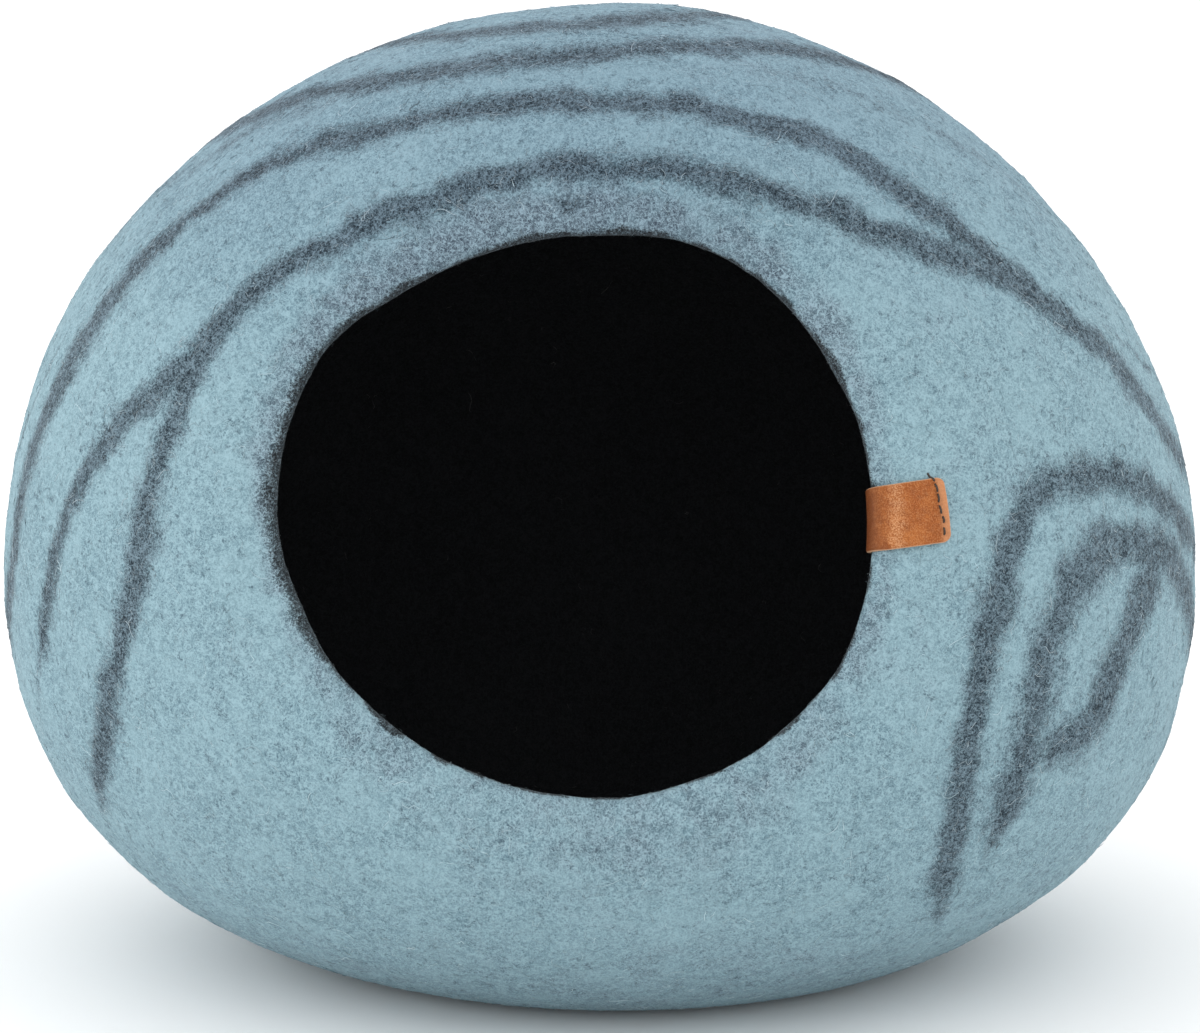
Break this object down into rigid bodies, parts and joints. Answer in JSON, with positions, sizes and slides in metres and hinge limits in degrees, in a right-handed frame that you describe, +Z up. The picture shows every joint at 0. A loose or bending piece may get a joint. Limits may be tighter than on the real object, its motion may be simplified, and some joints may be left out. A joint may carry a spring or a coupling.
{
  "type": "felt cat cave",
  "caption": "Egg-shaped pet cave of thick wool felt, one hollow shell with a round front opening, a flat foot and a small bare leather tab folded over the opening's lip",
  "frame": {"origin": "on the floor, under the middle of the bounding box", "axes": "+Z up, +X to the right seen from the front, the opening faces -Y"},
  "size_m": [0.4193, 0.3875, 0.3341],
  "materials": {
    "felt": "matted light blue wool felt with soft charcoal stripes, short curly fuzz",
    "leather": "smooth vegetable-tanned leather, satin",
    "thread": "dark waxed sewing thread"
  },
  "bodies": {
    "root": {"felt_shell": "felt", "leather_tab": "leather"}
  },
  "joints": []
}
